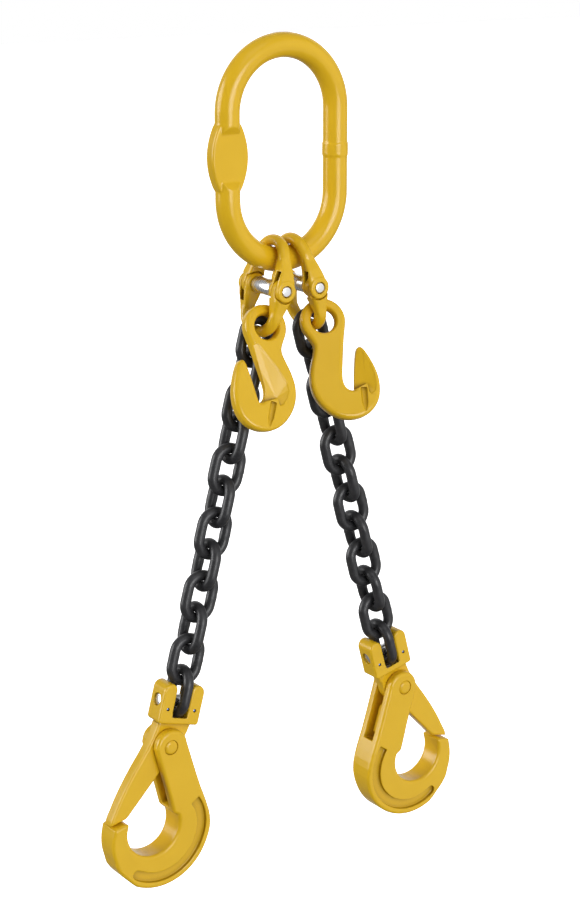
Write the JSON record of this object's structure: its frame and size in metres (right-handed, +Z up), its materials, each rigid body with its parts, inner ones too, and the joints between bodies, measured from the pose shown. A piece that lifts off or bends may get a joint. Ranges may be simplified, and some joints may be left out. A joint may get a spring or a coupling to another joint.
{
  "type": "two-leg chain sling",
  "caption": "Two-leg lifting chain sling hung from an oblong master link, with coupling links, shortening grab hooks, and clevis self-locking hooks on the leg ends.",
  "frame": {"origin": "bearing point of the crane hook, on the inside of the top crown of the master link", "axes": "+Z up towards the crane hook, +X across the master link from the left leg to the right leg, -Y the side of the grab hooks"},
  "size_m": [0.315, 0.0839, 0.6242],
  "materials": {
    "paint_yellow": "satin powder coat over forged steel",
    "chain_black": "satin black paint over hardened steel chain",
    "steel_pin": "bright zinc",
    "spring_steel": "drawn spring wire"
  },
  "bodies": {
    "master_link": {"master_link": "paint_yellow"},
    "coupling_upper_left": {"coupling_upper_half_left": "paint_yellow", "coupling_pin_left": "steel_pin", "coupling_sleeve_left": "steel_pin"},
    "coupling_lower_left": {"coupling_lower_half_left": "paint_yellow"},
    "grab_hook_left": {"grab_hook_left": "paint_yellow"},
    "chain_link_left_01": {"chain_link_left_01": "chain_black"},
    "chain_link_left_02": {"chain_link_left_02": "chain_black"},
    "chain_link_left_03": {"chain_link_left_03": "chain_black"},
    "chain_link_left_04": {"chain_link_left_04": "chain_black"},
    "chain_link_left_05": {"chain_link_left_05": "chain_black"},
    "chain_link_left_06": {"chain_link_left_06": "chain_black"},
    "chain_link_left_07": {"chain_link_left_07": "chain_black"},
    "chain_link_left_08": {"chain_link_left_08": "chain_black"},
    "chain_link_left_09": {"chain_link_left_09": "chain_black"},
    "chain_link_left_10": {"chain_link_left_10": "chain_black"},
    "chain_link_left_11": {"chain_link_left_11": "chain_black"},
    "chain_link_left_12": {"chain_link_left_12": "chain_black"},
    "clevis_left": {"clevis_latch_left": "paint_yellow", "load_pin_left": "steel_pin", "retaining_pin_inner_left": "steel_pin", "retaining_pin_outer_left": "steel_pin"},
    "hook_left": {"hook_body_left": "paint_yellow", "pivot_rivet_left": "paint_yellow", "trigger_pin_left": "steel_pin", "trigger_spring_left": "spring_steel"},
    "trigger_left": {"lock_trigger_left": "paint_yellow"},
    "coupling_upper_right": {"coupling_upper_half_right": "paint_yellow", "coupling_pin_right": "steel_pin", "coupling_sleeve_right": "steel_pin"},
    "coupling_lower_right": {"coupling_lower_half_right": "paint_yellow"},
    "grab_hook_right": {"grab_hook_right": "paint_yellow"},
    "chain_link_right_01": {"chain_link_right_01": "chain_black"},
    "chain_link_right_02": {"chain_link_right_02": "chain_black"},
    "chain_link_right_03": {"chain_link_right_03": "chain_black"},
    "chain_link_right_04": {"chain_link_right_04": "chain_black"},
    "chain_link_right_05": {"chain_link_right_05": "chain_black"},
    "chain_link_right_06": {"chain_link_right_06": "chain_black"},
    "chain_link_right_07": {"chain_link_right_07": "chain_black"},
    "chain_link_right_08": {"chain_link_right_08": "chain_black"},
    "chain_link_right_09": {"chain_link_right_09": "chain_black"},
    "chain_link_right_10": {"chain_link_right_10": "chain_black"},
    "chain_link_right_11": {"chain_link_right_11": "chain_black"},
    "chain_link_right_12": {"chain_link_right_12": "chain_black"},
    "clevis_right": {"clevis_latch_right": "paint_yellow", "load_pin_right": "steel_pin", "retaining_pin_inner_right": "steel_pin", "retaining_pin_outer_right": "steel_pin"},
    "hook_right": {"hook_body_right": "paint_yellow", "pivot_rivet_right": "paint_yellow", "trigger_pin_right": "steel_pin", "trigger_spring_right": "spring_steel"},
    "trigger_right": {"lock_trigger_right": "paint_yellow"}
  },
  "joints": [
    {"name": "coupling_swing_left", "type": "hinge", "parent": "master_link", "child": "coupling_upper_left", "pos_m": [-0.01008, 0, -0.14329], "axis": [0.9762, 0, -0.2168], "range_deg": [-20, 20]},
    {"name": "coupling_pin_turn_left", "type": "hinge", "parent": "coupling_upper_left", "child": "coupling_lower_left", "pos_m": [-0.0145, -0.0013, -0.1632], "axis": [0, 1, 0], "range_deg": [-8, 40]},
    {"name": "grab_hook_swing_left", "type": "hinge", "parent": "coupling_lower_left", "child": "grab_hook_left", "pos_m": [-0.0243, -0.01235, -0.1906], "axis": [0.0485, 0.9259, -0.3746], "range_deg": [-8, 30]},
    {"name": "chain_joint_left_01", "type": "hinge", "parent": "coupling_lower_left", "child": "chain_link_left_01", "pos_m": [-0.02298, -0.0009, -0.19483], "axis": [0, 1, 0], "range_deg": [-14, 14]},
    {"name": "chain_joint_left_02", "type": "hinge", "parent": "chain_link_left_01", "child": "chain_link_left_02", "pos_m": [-0.02914, -0.0009, -0.21782], "axis": [0.9659, 0, -0.2588], "range_deg": [-20, 20]},
    {"name": "chain_joint_left_03", "type": "hinge", "parent": "chain_link_left_02", "child": "chain_link_left_03", "pos_m": [-0.03537, -0.0009, -0.2411], "axis": [0, -1, 0], "range_deg": [-14, 14]},
    {"name": "chain_joint_left_04", "type": "hinge", "parent": "chain_link_left_03", "child": "chain_link_left_04", "pos_m": [-0.04161, -0.0009, -0.26438], "axis": [-0.9659, 0, 0.2588], "range_deg": [-20, 20]},
    {"name": "chain_joint_left_05", "type": "hinge", "parent": "chain_link_left_04", "child": "chain_link_left_05", "pos_m": [-0.04785, -0.0009, -0.28766], "axis": [0, 1, 0], "range_deg": [-14, 14]},
    {"name": "chain_joint_left_06", "type": "hinge", "parent": "chain_link_left_05", "child": "chain_link_left_06", "pos_m": [-0.05409, -0.0009, -0.31094], "axis": [0.9659, 0, -0.2588], "range_deg": [-20, 20]},
    {"name": "chain_joint_left_07", "type": "hinge", "parent": "chain_link_left_06", "child": "chain_link_left_07", "pos_m": [-0.06032, -0.0009, -0.33422], "axis": [0, -1, 0], "range_deg": [-14, 14]},
    {"name": "chain_joint_left_08", "type": "hinge", "parent": "chain_link_left_07", "child": "chain_link_left_08", "pos_m": [-0.06656, -0.0009, -0.3575], "axis": [-0.9659, 0, 0.2588], "range_deg": [-20, 20]},
    {"name": "chain_joint_left_09", "type": "hinge", "parent": "chain_link_left_08", "child": "chain_link_left_09", "pos_m": [-0.0728, -0.0009, -0.38077], "axis": [0, 1, 0], "range_deg": [-14, 14]},
    {"name": "chain_joint_left_10", "type": "hinge", "parent": "chain_link_left_09", "child": "chain_link_left_10", "pos_m": [-0.07904, -0.0009, -0.40405], "axis": [0.9659, 0, -0.2588], "range_deg": [-20, 20]},
    {"name": "chain_joint_left_11", "type": "hinge", "parent": "chain_link_left_10", "child": "chain_link_left_11", "pos_m": [-0.08527, -0.0009, -0.42733], "axis": [0, -1, 0], "range_deg": [-14, 14]},
    {"name": "chain_joint_left_12", "type": "hinge", "parent": "chain_link_left_11", "child": "chain_link_left_12", "pos_m": [-0.09151, -0.0009, -0.45061], "axis": [-0.9659, 0, 0.2588], "range_deg": [-20, 20]},
    {"name": "clevis_swing_left", "type": "hinge", "parent": "chain_link_left_12", "child": "clevis_left", "pos_m": [-0.09542, -0.0009, -0.4652], "axis": [-0.9659, 0, 0.2588], "range_deg": [-15, 15]},
    {"name": "hook_open_left", "type": "hinge", "parent": "clevis_left", "child": "hook_left", "pos_m": [-0.10784, -0.0009, -0.49609], "axis": [0, -1, 0], "range_deg": [0, 35]},
    {"name": "trigger_press_left", "type": "hinge", "parent": "hook_left", "child": "trigger_left", "pos_m": [-0.0949, -0.0009, -0.52316], "axis": [0, 1, 0], "range_deg": [0, 10], "stiffness_Nm_per_rad": 0.05, "springref_deg": -17.19},
    {"name": "coupling_swing_right", "type": "hinge", "parent": "master_link", "child": "coupling_upper_right", "pos_m": [0.01008, 0, -0.14329], "axis": [0.9762, 0, 0.2168], "range_deg": [-20, 20]},
    {"name": "coupling_pin_turn_right", "type": "hinge", "parent": "coupling_upper_right", "child": "coupling_lower_right", "pos_m": [0.0145, -0.0013, -0.1632], "axis": [0, 1, 0], "range_deg": [-40, 8]},
    {"name": "grab_hook_swing_right", "type": "hinge", "parent": "coupling_lower_right", "child": "grab_hook_right", "pos_m": [0.0243, -0.0163, -0.1908], "axis": [0.3367, 0.8333, -0.4384], "range_deg": [-30, 8]},
    {"name": "chain_joint_right_01", "type": "hinge", "parent": "coupling_lower_right", "child": "chain_link_right_01", "pos_m": [0.02298, -0.0009, -0.19483], "axis": [0, 1, 0], "range_deg": [-14, 14]},
    {"name": "chain_joint_right_02", "type": "hinge", "parent": "chain_link_right_01", "child": "chain_link_right_02", "pos_m": [0.02914, -0.0009, -0.21782], "axis": [-0.9659, 0, -0.2588], "range_deg": [-20, 20]},
    {"name": "chain_joint_right_03", "type": "hinge", "parent": "chain_link_right_02", "child": "chain_link_right_03", "pos_m": [0.03537, -0.0009, -0.2411], "axis": [0, -1, 0], "range_deg": [-14, 14]},
    {"name": "chain_joint_right_04", "type": "hinge", "parent": "chain_link_right_03", "child": "chain_link_right_04", "pos_m": [0.04161, -0.0009, -0.26438], "axis": [0.9659, 0, 0.2588], "range_deg": [-20, 20]},
    {"name": "chain_joint_right_05", "type": "hinge", "parent": "chain_link_right_04", "child": "chain_link_right_05", "pos_m": [0.04785, -0.0009, -0.28766], "axis": [0, 1, 0], "range_deg": [-14, 14]},
    {"name": "chain_joint_right_06", "type": "hinge", "parent": "chain_link_right_05", "child": "chain_link_right_06", "pos_m": [0.05409, -0.0009, -0.31094], "axis": [-0.9659, 0, -0.2588], "range_deg": [-20, 20]},
    {"name": "chain_joint_right_07", "type": "hinge", "parent": "chain_link_right_06", "child": "chain_link_right_07", "pos_m": [0.06032, -0.0009, -0.33422], "axis": [0, -1, 0], "range_deg": [-14, 14]},
    {"name": "chain_joint_right_08", "type": "hinge", "parent": "chain_link_right_07", "child": "chain_link_right_08", "pos_m": [0.06656, -0.0009, -0.3575], "axis": [0.9659, 0, 0.2588], "range_deg": [-20, 20]},
    {"name": "chain_joint_right_09", "type": "hinge", "parent": "chain_link_right_08", "child": "chain_link_right_09", "pos_m": [0.0728, -0.0009, -0.38077], "axis": [0, 1, 0], "range_deg": [-14, 14]},
    {"name": "chain_joint_right_10", "type": "hinge", "parent": "chain_link_right_09", "child": "chain_link_right_10", "pos_m": [0.07904, -0.0009, -0.40405], "axis": [-0.9659, 0, -0.2588], "range_deg": [-20, 20]},
    {"name": "chain_joint_right_11", "type": "hinge", "parent": "chain_link_right_10", "child": "chain_link_right_11", "pos_m": [0.08527, -0.0009, -0.42733], "axis": [0, -1, 0], "range_deg": [-14, 14]},
    {"name": "chain_joint_right_12", "type": "hinge", "parent": "chain_link_right_11", "child": "chain_link_right_12", "pos_m": [0.09151, -0.0009, -0.45061], "axis": [0.9659, 0, 0.2588], "range_deg": [-20, 20]},
    {"name": "clevis_swing_right", "type": "hinge", "parent": "chain_link_right_12", "child": "clevis_right", "pos_m": [0.09542, -0.0009, -0.4652], "axis": [0.9659, 0, 0.2588], "range_deg": [-15, 15]},
    {"name": "hook_open_right", "type": "hinge", "parent": "clevis_right", "child": "hook_right", "pos_m": [0.10784, -0.0009, -0.49609], "axis": [0, 1, 0], "range_deg": [0, 35]},
    {"name": "trigger_press_right", "type": "hinge", "parent": "hook_right", "child": "trigger_right", "pos_m": [0.0949, -0.0009, -0.52316], "axis": [0, -1, 0], "range_deg": [0, 10], "stiffness_Nm_per_rad": 0.05, "springref_deg": -17.19}
  ]
}
